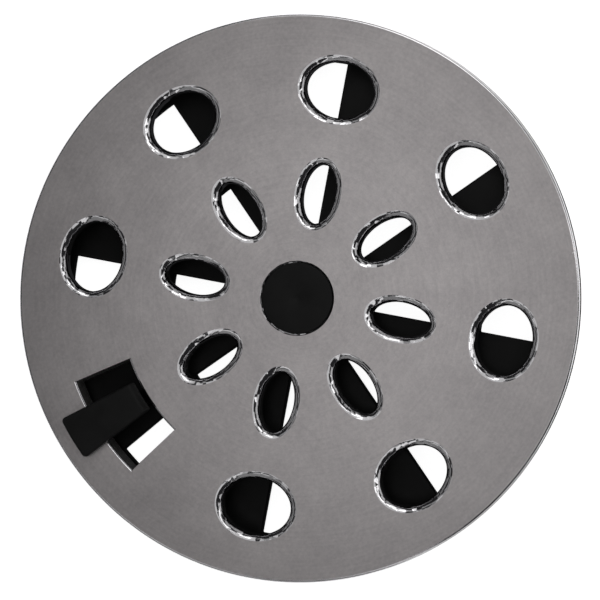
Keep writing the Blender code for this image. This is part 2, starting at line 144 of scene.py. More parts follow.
# Washers and screw
WAVE_INNER_RADIUS = 4.6 * MM
WAVE_THICKNESS = 0.3 * MM
WAVE_AMPLITUDE = 0.25 * MM
WAVE_COUNT = 3
FLAT_WASHER_BORE_RADIUS = 2.3 * MM
WASHER_EDGE = 0.12 * MM
SCREW_HEAD_HEIGHT = 1.7 * MM
SCREW_DOME_SHARE = 0.55
SCREW_RADIUS = 1.9 * MM
DRIVE_HALF_LENGTH = 1.9 * MM
DRIVE_HALF_WIDTH = 0.45 * MM
DRIVE_DEPTH = 1.0 * MM
DRIVE_END_SHARE = 0.55

# Facets
ROUND_STEPS = 180
SMALL_ROUND_STEPS = 96
OVAL_STEPS = 96
PETAL_STEPS = 80
FILLET_STEPS = 10
SLOT_FILLET_STEPS = 3
ARC_STEP = math.radians(1.5)
SLOT_ARC_STEPS = 18
LEVER_ARC_STEPS = 8
CUT_MARGIN = 1.0 * MM
EMBED = 0.8 * MM
WELD_DISTANCE = 0.000001

# Camera: where it stands as seen from the middle of the face
CAMERA_DISTANCE = 0.8993
CAMERA_LENS = 307.03
CAMERA_TILT = math.radians(-9.93)
CAMERA_PITCH = math.radians(-0.47)
CAMERA_ROLL = math.radians(213.62)
VIEW_SHIFT = (-0.54 * MM, 0.317 * MM)
PANEL_DISTANCE = 1.4
NEAR_PANEL_DISTANCE = 0.6
POWER_FOR_UNIT_GLOW = 4.0
FLOOR_GAP = 0.2 * MM
FLOOR_REACH = 3.0
SURROUND_RADII = (56.0 * MM, 0.6)
SURROUND_STEPS = 48
SURROUND_GLOW = (0.42, 0.95)


# ---------------------------------------------------------------- helpers

def height_at(depth):
    return FACE - depth


def link(thing):
    bpy.context.scene.collection.objects.link(thing)
    return thing


def mesh_from(name, bm):
    bmesh.ops.recalc_face_normals(bm, faces=bm.faces[:])
    mesh = bpy.data.meshes.new(name)
    bm.to_mesh(mesh)
    bm.free()
    return mesh


def new_object(name, mesh):
    return link(bpy.data.objects.new(name, mesh))


def boolean(target, operand_mesh, operation, finish=0):
    """Joins or cuts with a mesh at once; on the plate, faces that come from it get this finish."""
    tool = new_object("tool", operand_mesh)
    operand_mesh.materials.append(TOOL_MATERIALS[finish])
    modifier = target.modifiers.new("boolean", "BOOLEAN")
    modifier.operation = operation
    modifier.solver = "EXACT"
    modifier.material_mode = "TRANSFER"
    modifier.object = tool
    apply_modifiers(target)
    bpy.data.objects.remove(tool)


def apply_modifiers(thing):
    bpy.context.view_layer.update()
    evaluated = thing.evaluated_get(bpy.context.evaluated_depsgraph_get())
    mesh = bpy.data.meshes.new_from_object(evaluated)
    thing.modifiers.clear()
    thing.data = mesh


def turned(name, profile, steps, closed=False):
    """Turned piece from (radius, depth) corners that run down its outer side."""
    bm = bmesh.new()
    corners = [bm.verts.new((radius, 0.0, height_at(depth))) for radius, depth in profile]
    for first, second in zip(corners, corners[1:]):
        bm.edges.new((first, second))
    if closed:
        bm.edges.new((corners[-1], corners[0]))
    mesh = bpy.data.meshes.new(name)
    bm.to_mesh(mesh)
    bm.free()
    thing = new_object(name, mesh)
    screw = thing.modifiers.new("turn", "SCREW")
    screw.steps = steps
    screw.render_steps = steps
    screw.use_merge_vertices = True
    screw.merge_threshold = WELD_DISTANCE
    apply_modifiers(thing)
    return thing


def turned_mesh(name, profile, steps):
    """The same as a bare mesh, to cut with."""
    thing = turned(name, profile, steps)
    mesh = thing.data
    bpy.data.objects.remove(thing)
    return mesh


def quarter_round(centre_radius, centre_depth, radius, start, steps=6):
    """Quarter circle in a turned section, clockwise from start degrees."""
    points = []
    for step in range(steps + 1):
        angle = math.radians(start - 90.0 * step / steps)
        points.append((centre_radius + radius * math.cos(angle), centre_depth - radius * math.sin(angle)))
    return points


def placed(point, angle):
    """Turns a point (along a radius, across it) to its place round the part's axis."""
    along, across = point
    x = along * math.cos(angle) - across * math.sin(angle)
    y = along * math.sin(angle) + across * math.cos(angle)
    return (x, y)


def oval_outline(ring_radius, angle, radial, tangential, offset, steps):
    """Ellipse on a ring of holes, moved outwards by an even offset."""
    points = []
    for step in range(steps):
        turn_angle = math.tau * step / steps
        normal_along = tangential * math.cos(turn_angle)
        normal_across = radial * math.sin(turn_angle)
        length = math.hypot(normal_along, normal_across)
        along = ring_radius + radial * math.cos(turn_angle) + offset * normal_along / length
        across = tangential * math.sin(turn_angle) + offset * normal_across / length
        points.append(placed((along, across), angle))
    return points


def arc(centre, radius, start, end, count):
    angles = [start + (end - start) * step / count for step in range(count + 1)]
    return [(centre[0] + radius * math.cos(a), centre[1] + radius * math.sin(a)) for a in angles]


def circle(radius):
    return arc((0, 0), radius, 0.0, math.tau, SMALL_ROUND_STEPS)[:-1]


def arc_count(start, end):
    return max(2, math.ceil(abs(end - start) / ARC_STEP))


def sector_outline(radii, inner_angles, outer_angles, count):
    inner = arc((0, 0), radii[0], *inner_angles, count)
    outer = arc((0, 0), radii[1], *outer_angles, count)
    return outer + inner[::-1]


def rounded_sector(radii, angles, growth):
    """Part of a ring with rounded corners, grown evenly all round."""
    radius = WINDOW_CORNER + growth
    outer_ring = radii[1] - WINDOW_CORNER
    inner_ring = radii[0] + WINDOW_CORNER
    outer_inset = math.asin(WINDOW_CORNER / outer_ring)
    inner_inset = math.asin(WINDOW_CORNER / inner_ring)
    start, end = angles
    quarter = math.pi / 2
    turns = (
        (outer_ring, start + outer_inset, start - quarter, start + outer_inset),
        (outer_ring, end - outer_inset, end - outer_inset, end + quarter),
        (inner_ring, end - inner_inset, end + quarter, end - inner_inset + math.pi),
        (inner_ring, start + inner_inset, start + inner_inset + math.pi, start + 3 * quarter),
    )
    points = []
    for index, (ring, place, low, high) in enumerate(turns):
        centre = (ring * math.cos(place), ring * math.sin(place))
        points += arc(centre, radius, low, high, 4)
        if index == 0:
            span = (start + outer_inset, end - outer_inset)
            points += arc((0, 0), radii[1] + growth, *span, arc_count(*span))[1:-1]
        if index == 2:
            span = (end - inner_inset, start + inner_inset)
            points += arc((0, 0), radii[0] - growth, *span, arc_count(*span))[1:-1]
    return points


def add_loft(bm, outlines):
    """Closed solid through outlines of equal count, each with its depth, with flat ends."""
    rings = []
    for outline, depth in outlines:
        rings.append([bm.verts.new((x, y, height_at(depth))) for x, y in outline])
    for lower, upper in zip(rings, rings[1:]):
        for index in range(len(lower)):
            following = (index + 1) % len(lower)
            bm.faces.new((lower[index], lower[following], upper[following], upper[index]))
    bm.faces.new(rings[0][::-1])
    bm.faces.new(rings[-1])


def add_prism(bm, outline, top_depth, bottom_depth):
    add_loft(bm, [(outline, bottom_depth), (outline, top_depth)])


def shade(thing, angle=32.0):
    """Smooth shading, but sharp across edges that bend more than this many degrees."""
    mesh = thing.data
    mesh.shade_smooth()
    mesh.set_sharp_from_angle(angle=math.radians(angle))


def dress(thing, node, slot, body, *materials):
    """Gives a finished piece its materials and its place in the frame."""
    if materials:
        thing.data.materials.clear()
        for material in materials:
            thing.data.materials.append(material)
        thing.data.polygons.foreach_set("material_index", [0] * len(thing.data.polygons))
    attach(thing, body)
    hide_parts(node)


# ---------------------------------------------------------------- materials

class Nodes:
    """Short forms for building one material's nodes."""

    def __init__(self, name):
        self.material = bpy.data.materials.new(name)
        self.material.use_nodes = True
        self.tree = self.material.node_tree
        self.shader = self.tree.nodes["Principled BSDF"]
        self.object_space = self.tree.nodes.new("ShaderNodeTexCoord").outputs["Object"]

    def set(self, **values):
        for name, value in values.items():
            self.shader.inputs[name.replace("_", " ")].default_value = value

    def link(self, source, target):
        self.tree.links.new(source, target)

    def new(self, kind, **values):
        node = self.tree.nodes.new(kind)
        for name, value in values.items():
            setattr(node, name, value)
        return node

    def scaled(self, scale):
        """Object coordinates in millimetres, stretched by a scale on each axis."""
        node = self.new("ShaderNodeMapping")
        node.inputs["Scale"].default_value = [1000.0 * factor for factor in scale]
        self.link(self.object_space, node.inputs["Vector"])
        return node.outputs["Vector"]

    def noise(self, vector, scale, detail=2.0, roughness=0.5):
        node = self.new("ShaderNodeTexNoise")
        node.inputs["Scale"].default_value = scale
        node.inputs["Detail"].default_value = detail
        node.inputs["Roughness"].default_value = roughness
        self.link(vector, node.inputs["Vector"])
        return node.outputs["Fac"]

    def ranged(self, value, low, high, from_low=0.3, from_high=0.7):
        node = self.new("ShaderNodeMapRange")
        node.inputs["From Min"].default_value = from_low
        node.inputs["From Max"].default_value = from_high
        node.inputs["To Min"].default_value = low
        node.inputs["To Max"].default_value = high
        self.link(value, node.inputs["Value"])
        return node.outputs["Result"]

    def around_axis(self, per_degree, per_millimetre):
        """Coordinates that run round the part's axis, for marks that follow circles."""
        split = self.new("ShaderNodeSeparateXYZ")
        self.link(self.object_space, split.inputs["Vector"])
        angle = self.math("ARCTAN2", split.outputs["Y"], split.outputs["X"])
        joined = self.new("ShaderNodeCombineXYZ")
        self.link(self.math("MULTIPLY", angle, math.degrees(per_degree)), joined.inputs["X"])
        self.link(self.math("MULTIPLY", self.radius(), per_millimetre), joined.inputs["Y"])
        return joined.outputs["Vector"]

    def radius(self):
        """Millimetres from the part's axis."""
        flat = self.scaled((1, 1, 0))
        length = self.new("ShaderNodeVectorMath", operation="LENGTH")
        self.link(flat, length.inputs[0])
        return length.outputs["Value"]

    def towards_rim(self, start, end, share):
        """Factor that falls from 1 at one radius to a share at another."""
        return self.ranged(self.radius(), 1.0, share, start, end)

    def darkened(self, colour, factor):
        node = self.new("ShaderNodeMix", data_type="RGBA", blend_type="MULTIPLY")
        node.inputs["Factor"].default_value = 1.0
        self.link(colour, node.inputs["A"])
        self.link(factor, node.inputs["B"])
        return node.outputs["Result"]

    def tint_over(self, colour, factor, light):
        node = self.new("ShaderNodeMix", data_type="RGBA")
        self.link(colour, node.inputs["A"])
        node.inputs["B"].default_value = (*light, 1.0)
        self.link(factor, node.inputs["Factor"])
        return node.outputs["Result"]

    def tint(self, value, dark, light):
        node = self.new("ShaderNodeMix", data_type="RGBA")
        node.inputs["A"].default_value = (*dark, 1.0)
        node.inputs["B"].default_value = (*light, 1.0)
        self.link(value, node.inputs["Factor"])
        return node.outputs["Result"]

    def math(self, operation, first, second):
        node = self.new("ShaderNodeMath", operation=operation)
        for socket, value in zip(node.inputs, (first, second)):
            if isinstance(value, float):
                socket.default_value = value
            else:
                self.link(value, socket)
        return node.outputs["Value"]

    def bump(self, height, strength, distance, after=None):
        node = self.new("ShaderNodeBump")
        node.inputs["Strength"].default_value = strength
        node.inputs["Distance"].default_value = distance
        self.link(height, node.inputs["Height"])
        if after is not None:
            self.link(after, node.inputs["Normal"])
        return node.outputs["Normal"]

    def facets(self, vector, scale, lean):
        """Normals that lean a little another way in every small cell."""
        cells = self.new("ShaderNodeTexVoronoi")
        cells.inputs["Scale"].default_value = scale
        self.link(vector, cells.inputs["Vector"])
        centred = self.new("ShaderNodeVectorMath", operation="SUBTRACT")
        self.link(cells.outputs["Color"], centred.inputs[0])
        centred.inputs[1].default_value = (0.5, 0.5, 0.5)
        small = self.new("ShaderNodeVectorMath", operation="SCALE")
        self.link(centred.outputs["Vector"], small.inputs[0])
        small.inputs["Scale"].default_value = lean
        leaning = self.new("ShaderNodeVectorMath", operation="ADD")
        self.link(self.new("ShaderNodeNewGeometry").outputs["Normal"], leaning.inputs[0])
        self.link(small.outputs["Vector"], leaning.inputs[1])
        unit = self.new("ShaderNodeVectorMath", operation="NORMALIZE")
        self.link(leaning.outputs["Vector"], unit.inputs[0])
        return unit.outputs["Vector"]

    def finish(self, colour=None, roughness=None, normal=None):
        for value, name in ((colour, "Base Color"), (roughness, "Roughness"), (normal, "Normal")):
            if value is not None:
                self.link(value, self.shader.inputs[name])
        return self.material


def satin_chrome():
    """The face: bead-blasted and plated, with blotches, rub marks, nicks, a fine matt grain, and painted
    shade that darkens it towards the rim.
    """
    n = Nodes("satin_chrome_face")
    n.set(Metallic=1.0)
    even = n.scaled((1, 1, 1))
    grain = n.noise(even, scale=1.6, detail=4.0, roughness=0.75)
    blotch = n.noise(even, scale=0.11, detail=4.0, roughness=0.6)
    circles = n.around_axis(per_degree=0.05, per_millimetre=2.2)
    rubs = n.noise(circles, scale=1.0, detail=3.0, roughness=0.6)
    mixed = n.math("ADD", n.math("MULTIPLY", grain, 0.45), n.math("MULTIPLY", blotch, 0.35))
    mixed = n.math("ADD", mixed, n.math("MULTIPLY", rubs, 0.2))
    lightness = n.ranged(mixed, 0.0, 1.0, from_low=0.35, from_high=0.65)
    colour = n.tint(lightness, dark=(0.535, 0.505, 0.512), light=(0.765, 0.724, 0.722))
    # Painted shade: the face colour darkens from 24 mm out to the rim, in place of darker reflections there
    colour = n.darkened(colour, n.towards_rim(24.0, 50.0, FACE_RIM_PAINTED_SHADE))
    nicks = n.ranged(n.noise(even, scale=0.9), 0.0, 1.0, from_low=0.775, from_high=0.80)
    colour = n.tint_over(colour, nicks, light=(0.95, 0.95, 0.95))
    roughness = n.ranged(mixed, low=0.30, high=0.38)
    return n.finish(colour, roughness, n.bump(grain, strength=0.45, distance=0.00002))


def polished_chrome():
    """Holes: bright plating over small facets that hand deburring left."""
    n = Nodes("polished_chrome")
    n.set(Metallic=1.0)
    even = n.scaled((1, 1, 1))
    wave = n.noise(even, scale=0.42, detail=3.0, roughness=0.55)
    colour = n.tint(n.ranged(wave, 0.0, 1.0), dark=(0.70, 0.69, 0.705), light=(0.86, 0.85, 0.865))
    roughness = n.ranged(n.noise(even, scale=2.0), low=0.06, high=0.14)
    facets = n.facets(even, scale=0.85, lean=0.24)
    return n.finish(colour, roughness, n.bump(wave, strength=0.3, distance=0.00012, after=facets))


def rolled_chrome():
    """Outer rim and the slot's edge: plating over an edge that was machined evenly."""
    n = Nodes("rolled_edge_chrome")
    n.set(Metallic=1.0)
    even = n.scaled((1, 1, 1))
    wave = n.noise(even, scale=0.3, detail=3.0, roughness=0.55)
    colour = n.tint(n.ranged(wave, 0.0, 1.0), dark=(0.72, 0.71, 0.725), light=(0.84, 0.83, 0.845))
    roughness = n.ranged(wave, low=0.14, high=0.22)
    grain = n.noise(even, scale=2.2, detail=3.0)
    return n.finish(colour, roughness, n.bump(grain, strength=0.25, distance=0.00004))


def slot_chrome():
    """Walls of the lever slot: plated as cast, without polishing."""
    n = Nodes("slot_wall_chrome")
    n.set(Metallic=1.0)
    even = n.scaled((1, 1, 1))
    speckle = n.noise(even, scale=2.6, detail=3.0, roughness=0.7)
    colour = n.tint(n.ranged(speckle, 0.0, 1.0), dark=(0.38, 0.37, 0.37), light=(0.85, 0.84, 0.84))
    roughness = n.ranged(speckle, low=0.34, high=0.48)
    return n.finish(colour, roughness, n.bump(speckle, strength=0.8, distance=0.00012))


def cast_chrome():
    """Underside: thinner plating over the casting's skin."""
    n = Nodes("cast_chrome")
    n.set(Metallic=1.0)
    even = n.scaled((1, 1, 1))
    skin = n.noise(even, scale=1.6, detail=4.0, roughness=0.65)
    stain = n.noise(even, scale=0.12, detail=3.0, roughness=0.6)
    colour = n.tint(n.ranged(stain, 0.0, 1.0), dark=(0.36, 0.35, 0.345), light=(0.50, 0.485, 0.48))
    roughness = n.ranged(skin, low=0.38, high=0.55)
    return n.finish(colour, roughness, n.bump(skin, strength=0.5, distance=0.00006))


def moulded_plastic(name, dark, light, rough):
    """Black plastic with spark-eroded mould grain and slightly shiny patches."""
    n = Nodes(name)
    n.shader.inputs["Specular IOR Level"].default_value = 0.14
    even = n.scaled((1, 1, 1))
    grain = n.noise(even, scale=6.0, detail=3.0, roughness=0.6)
    patch = n.noise(even, scale=0.25)
    colour = n.tint(n.ranged(patch, 0.0, 1.0), (dark,) * 3, (light,) * 3)
    roughness = n.ranged(patch, low=rough - 0.05, high=rough + 0.07)
    return n.finish(colour, roughness, n.bump(grain, strength=0.3, distance=0.00002))


def turned_steel():
    """Stainless steel with fine rings from turning and stamping."""
    n = Nodes("turned_steel")
    n.set(Metallic=1.0)
    even = n.scaled((1, 1, 1))
    rings = n.new("ShaderNodeTexWave", wave_type="RINGS", rings_direction="Z")
    rings.inputs["Scale"].default_value = 2.2
    rings.inputs["Distortion"].default_value = 1.0
    rings.inputs["Detail"].default_value = 3.0
    n.link(even, rings.inputs["Vector"])
    cloud = n.ranged(n.noise(even, scale=0.6), 0.0, 1.0)
    colour = n.tint(cloud, dark=(0.44, 0.44, 0.45), light=(0.55, 0.55, 0.56))
    roughness = n.ranged(n.noise(even, scale=1.5), low=0.22, high=0.34)
    return n.finish(colour, roughness, n.bump(rings.outputs["Fac"], strength=0.25, distance=0.00002))


SATIN = satin_chrome()
POLISHED = polished_chrome()
CAST = cast_chrome()
SLOT_WALL = slot_chrome()
ROLLED = rolled_chrome()
TOOL_MATERIALS = (SATIN, POLISHED, CAST, SLOT_WALL, ROLLED)
SATIN_INDEX, POLISHED_INDEX, CAST_INDEX, SLOT_INDEX, ROLLED_INDEX = range(5)


# ---------------------------------------------------------------- plate

def plate_blank():
    """The disc and its spigot; the rings across the face let crown() bend it."""
    profile = [(radius * MM, 0.0) for radius in CROWN_RING_RADII]
    edge_centre = PLATE_RADIUS - FACE_EDGE_RADIUS
    profile += quarter_round(edge_centre, FACE_EDGE_RADIUS, FACE_EDGE_RADIUS, 90.0)
    lower_edge = FLANGE_THICKNESS - SPIGOT_CHAMFER
    profile += quarter_round(PLATE_RADIUS - SPIGOT_CHAMFER, lower_edge, SPIGOT_CHAMFER, 0.0, 4)
    profile += [
        (SPIGOT_OUTER_RADIUS, FLANGE_THICKNESS),
        (SPIGOT_OUTER_RADIUS, FACE - SPIGOT_CHAMFER),
        (SPIGOT_OUTER_RADIUS - SPIGOT_CHAMFER, FACE),
        (SPIGOT_INNER_RADIUS + SPIGOT_CHAMFER, FACE),
        (SPIGOT_INNER_RADIUS, FACE - SPIGOT_CHAMFER),
        (SPIGOT_INNER_RADIUS, FLANGE_THICKNESS),
        (0.0, FLANGE_THICKNESS),
    ]
    return turned("plate_casting", profile, ROUND_STEPS)


def hole_places():
    """Every oval and petal, as (ring radius, angle, radial, tangential, steps)."""
    places = []
    for sector in range(SECTORS):
        angle = sector * PITCH
        if sector > 0:
            places.append((OVAL_RING_RADIUS, angle, OVAL_RADIAL, OVAL_TANGENTIAL, OVAL_STEPS))
        places.append((PETAL_RING_RADIUS, angle, PETAL_RADIAL, PETAL_TANGENTIAL, PETAL_STEPS))
    return places


def hole_outline(place, offset):
    ring_radius, angle, radial, tangential, steps = place
    return oval_outline(ring_radius, angle, radial, tangential, offset, steps)


def widened(angles, margin):
    return (angles[0] - margin, angles[1] + margin)


def slot_outline(growth, side_growth):
    inner_radius = SLOT_RADII[0] - growth
    outer_radius = SLOT_RADII[1] + growth
    inner = widened(SLOT_INNER_ANGLES, side_growth / inner_radius)
    outer = widened(SLOT_OUTER_ANGLES, side_growth / outer_radius)
    return sector_outline((inner_radius, outer_radius), inner, outer, SLOT_ARC_STEPS)


def edge_levels(radius, foot, steps):
    """(depth, growth) of a cutter from its foot up through a rounded edge on the face."""
    levels = [(foot, 0.0)]
    for step in range(steps + 1):
        angle = math.radians(90.0 * step / steps)
        levels.append((radius * (1.0 - math.sin(angle)), radius * (1.0 - math.cos(angle))))
    # The last step runs on past the face, so that the cutter's end stands clear of it.
    (depth_before, growth_before), (depth_last, growth_last) = levels[-2:]
    levels[-1] = (2.0 * depth_last - depth_before, 2.0 * growth_last - growth_before)
    return levels


def rounded_foot(depth, growth, top):
    """(depth, growth) of a collar from its eased lower edge up into the plate."""
    return [(depth, growth - WALL_ROUNDING), (depth - WALL_ROUNDING, growth), (top, growth)]


def plate_walls():
    """Collars round the holes and the slot, and the boss, before they are cut through."""
    bm = bmesh.new()
    top = FLANGE_THICKNESS - EMBED
    for place in hole_places():
        levels = rounded_foot(COLLAR_DEPTH, WALL, top)
        add_loft(bm, [(hole_outline(place, growth), depth) for depth, growth in levels])
    levels = rounded_foot(SLOT_COLLAR_DEPTH, WALL, top)
    add_loft(bm, [(slot_outline(growth, growth), depth) for depth, growth in levels])
    levels = rounded_foot(BOSS_DEPTH, BOSS_RADIUS, top)
    add_loft(bm, [(circle(radius), depth) for depth, radius in levels])
    return mesh_from("walls", bm)


def rib_outline(growth, angle):
    inner = BOSS_RADIUS - EMBED
    outer = SPIGOT_INNER_RADIUS + EMBED
    half = RIB_THICKNESS / 2 + growth
    corners = [(inner, -half), (outer, -half), (outer, half), (inner, half)]
    return [placed(corner, angle) for corner in corners]


def plate_ribs():
    bm = bmesh.new()
    top = FLANGE_THICKNESS - EMBED
    levels = [(RIB_DEPTH, -2 * RIB_DRAFT), (RIB_DEPTH - RIB_DRAFT, -RIB_DRAFT), (top, 0.0)]
    for sector in range(SECTORS):
        angle = (sector + 0.5) * PITCH
        add_loft(bm, [(rib_outline(growth, angle), depth) for depth, growth in levels])
    return mesh_from("ribs", bm)


def hole_cutters():
    bm = bmesh.new()
    levels = edge_levels(HOLE_EDGE_RADIUS, BOSS_DEPTH + CUT_MARGIN, FILLET_STEPS)
    for place in hole_places():
        add_loft(bm, [(hole_outline(place, growth), depth) for depth, growth in levels])
    return mesh_from("holes", bm)


def slot_cutter():
    """Rounded along the slot's two arcs, nearly sharp along its two sides."""
    bm = bmesh.new()
    levels = edge_levels(SLOT_EDGE, BOSS_DEPTH + CUT_MARGIN, SLOT_FILLET_STEPS)
    outlines = [(slot_outline(growth, SLOT_SIDE_SHARE * growth), depth) for depth, growth in levels]
    add_loft(bm, outlines)
    return mesh_from("slot", bm)


def seat_cutter():
    profile = [(0.0, -SEAT_EDGE), (SEAT_RADIUS + 2 * SEAT_EDGE, -SEAT_EDGE), (SEAT_RADIUS, SEAT_EDGE)]
    profile += [
        (SEAT_RADIUS, SEAT_DEPTH),
        (BORE_RADIUS, SEAT_DEPTH),
        (BORE_RADIUS, BOSS_DEPTH + CUT_MARGIN),
        (0.0, BOSS_DEPTH + CUT_MARGIN),
    ]
    return turned_mesh("seat", profile, SMALL_ROUND_STEPS)


def crown(mesh):
    """Lets the face fall away slightly towards the rim, and everything near it with it."""
    reach = PLATE_RADIUS - CROWN_START
    for vertex in mesh.vertices:
        radius = math.hypot(vertex.co.x, vertex.co.y)
        share = (vertex.co.z - height_at(FLANGE_THICKNESS)) / FLANGE_THICKNESS
        if radius > CROWN_START and share > 0.0:
            vertex.co.z -= share * CROWN_DROP * ((radius - CROWN_START) / reach) ** 2


def finish_plate_faces(mesh):
    """Satin on the face, polish in the holes, a rolled rim and slot edge, cast skin below."""
    flange_low = height_at(FLANGE_THICKNESS)
    for face in mesh.polygons:
        on_face = face.normal.z > FLAT_NORMAL and face.center.z > FACE - FACE_DEPTH_LIMIT
        rim = math.hypot(face.center.x, face.center.y) > PLATE_RADIUS - FACE_EDGE_RADIUS
        if on_face and not rim:
            face.material_index = SATIN_INDEX
        elif rim and face.center.z > flange_low + SPIGOT_CHAMFER:
            face.material_index = ROLLED_INDEX
        elif face.material_index == SLOT_INDEX and face.center.z > FACE - SLOT_EDGE:
            face.material_index = ROLLED_INDEX
        elif face.material_index not in (POLISHED_INDEX, SLOT_INDEX):
            face.material_index = CAST_INDEX


def sharpen_material_borders(mesh):
    """A border between the satin face and another finish is a crisp edge."""
    bm = bmesh.new()
    bm.from_mesh(mesh)
    for edge in bm.edges:
        finishes = {face.material_index for face in edge.link_faces}
        if SATIN_INDEX in finishes and len(finishes) > 1:
            edge.smooth = False
    bm.to_mesh(mesh)
    bm.free()


def make_plate():
    plate = plate_blank()
    for material in TOOL_MATERIALS:
        plate.data.materials.append(material)
    boolean(plate, plate_walls(), "UNION", CAST_INDEX)
    boolean(plate, plate_ribs(), "UNION", CAST_INDEX)
    boolean(plate, hole_cutters(), "DIFFERENCE", POLISHED_INDEX)
    boolean(plate, slot_cutter(), "DIFFERENCE", SLOT_INDEX)
    boolean(plate, seat_cutter(), "DIFFERENCE", POLISHED_INDEX)
    finish_plate_faces(plate.data)
    crown(plate.data)
    shade(plate)
    sharpen_material_borders(plate.data)
    dress(plate, "grate_plate", "satin_chrome", "grate")


# ---------------------------------------------------------------- shutter and lever

def window_angles(sector, radii):
    start = sector * PITCH + BLADE_LEADING
    end = (sector + 1) * PITCH + BLADE_TRAILING
    if radii == OUTER_WINDOW_RADII and sector == 0:
        start = LEVER_BLADE_LEADING
    if radii == OUTER_WINDOW_RADII and sector == SECTORS - 1:
        end = math.tau + LEVER_BLADE_TRAILING
    return (start, end)


def through_levels(top, bottom, edge):
    """(depth, growth) of a cutter through a plate, with both its edges eased."""
    out = 2 * edge
    return [(bottom + edge, out), (bottom - edge, 0.0), (top + edge, 0.0), (top - edge, out)]


def shutter_windows():
    bm = bmesh.new()
    levels = through_levels(FACE - SHUTTER_HIGH.z, FACE - SHUTTER_LOW.z, WINDOW_EDGE)
    for radii in (OUTER_WINDOW_RADII, INNER_WINDOW_RADII):
        for sector in range(SECTORS):
            angles = window_angles(sector, radii)
            add_loft(bm, [(rounded_sector(radii, angles, growth), depth) for depth, growth in levels])
    return mesh_from("windows", bm)


def lever_socket():
    bm = bmesh.new()
    levels = through_levels(FACE - SHUTTER_HIGH.z, FACE - SHUTTER_LOW.z, WINDOW_EDGE / 2)
    rings = []
    for depth, growth in levels:
        inner = STEM_INNER_RADIUS - SOCKET_GAP - growth
        outer = STEM_INNER_RADIUS + STEM_LENGTH + SOCKET_GAP + growth
        half = STEM_HALF_THICKNESS + SOCKET_GAP + growth
        corners = [(inner, -half), (outer, -half), (outer, half), (inner, half)]
        rings.append(([placed(corner, STEM_ANGLE) for corner in corners], depth))
    add_loft(bm, rings)
    return mesh_from("socket", bm)


def shutter_profile():
    top = FACE - SHUTTER_HIGH.z
    bottom = FACE - SHUTTER_LOW.z
    edge = SHUTTER_HIGH.x - SHUTTER_EDGE
    profile = [(BORE_RADIUS, top)]
    profile += quarter_round(edge, top + SHUTTER_EDGE, SHUTTER_EDGE, 90.0, 4)
    profile += quarter_round(edge, bottom - SHUTTER_EDGE, SHUTTER_EDGE, 0.0, 4)
    profile += [
        (RECESS_RADIUS, bottom),
        (RECESS_RADIUS, bottom - RECESS_HEIGHT),
        (BORE_RADIUS, bottom - RECESS_HEIGHT),
    ]
    return profile


def make_shutter(plastic):
    shutter = turned("shutter_moulding", shutter_profile(), ROUND_STEPS, True)
    boolean(shutter, shutter_windows(), "DIFFERENCE")
    boolean(shutter, lever_socket(), "DIFFERENCE")
    shade(shutter)
    dress(shutter, "shutter_disc", "black_plastic", "shutter", plastic)


def bevel_edges(bm, chosen, width, segments):
    bmesh.ops.bevel(
        bm, geom=chosen, offset=width, segments=segments, profile=0.5, affect="EDGES", clamp_overlap=True
    )


def edge_middle(edge):
    return (edge.verts[0].co + edge.verts[1].co) / 2


def lever_tab():
    """Finger tab with rounded outer corners, a rounded inner shoulder and eased edges."""
    bm = bmesh.new()
    outline = sector_outline(LEVER_RADII, LEVER_ANGLES, LEVER_ANGLES, LEVER_ARC_STEPS)
    add_prism(bm, outline, FACE - LEVER_HIGH.z, -LEVER_LIFT)
    bmesh.ops.recalc_face_normals(bm, faces=bm.faces[:])
    middle_radius = sum(LEVER_RADII) / 2
    outer_corners = []
    for edge in bm.edges:
        upright = abs(edge.verts[0].co.z - edge.verts[1].co.z) > LEVER_LIFT
        if upright and edge_middle(edge).xy.length > middle_radius and edge.calc_face_angle() > CORNER_TURN:
            outer_corners.append(edge)
    bevel_edges(bm, outer_corners, LEVER_CORNER, 6)
    shoulder = []
    for edge in bm.edges:
        high = min(vertex.co.z for vertex in edge.verts) > LEVER_HIGH.z - WELD_DISTANCE
        if high and abs(edge_middle(edge).xy.length - LEVER_RADII[0]) < SHOULDER_TOLERANCE:
            shoulder.append(edge)
    bevel_edges(bm, shoulder, LEVER_SHOULDER, 10)
    sharp = [edge for edge in bm.edges if edge.calc_face_angle() > SHARP_TURN]
    bevel_edges(bm, sharp, LEVER_EDGE, 4)
    return mesh_from("finger_lever", bm)


def stem_outline():
    """Section across the split stem and its two barbs, as (across, depth)."""
    half = STEM_HALF_THICKNESS
    ledge = FACE - SHUTTER_LOW.z + SOCKET_GAP
    top = (FACE - LEVER_HIGH.z - LEVER_LIFT) / 2
    end = FACE - LEVER_LOW.z
    right = [
        (SLIT_HALF_WIDTH, SLIT_TOP_DEPTH),
        (SLIT_HALF_WIDTH, end),
        (half + BARB_REACH - BARB_TAPER, end),
        (half + BARB_REACH, ledge + BARB_REACH / 2),
        (half + BARB_REACH, ledge),
        (half, ledge),
        (half, top),
    ]
    left = [(-across, depth) for across, depth in right[::-1]]
    return right + left


def stem_mesh():
    bm = bmesh.new()
    rings = []
    for along in (STEM_INNER_RADIUS, STEM_INNER_RADIUS + STEM_LENGTH):
        ring = []
        for across, depth in stem_outline():
            x, y = placed((along, across), STEM_ANGLE)
            ring.append(bm.verts.new((x, y, height_at(depth))))
        rings.append(ring)
    near, far = rings
    for index in range(len(near)):
        following = (index + 1) % len(near)
        bm.faces.new((near[index], near[following], far[following], far[index]))
    bm.faces.new(near[::-1])
    bm.faces.new(far)
    return mesh_from("stem", bm)


def make_lever(plastic):
    lever = new_object("finger_lever", lever_tab())
    boolean(lever, stem_mesh(), "UNION")
    shade(lever, 40.0)
    dress(lever, "thumb_lever", "black_plastic", "shutter", plastic)


# ---------------------------------------------------------------- pin, washers, screw

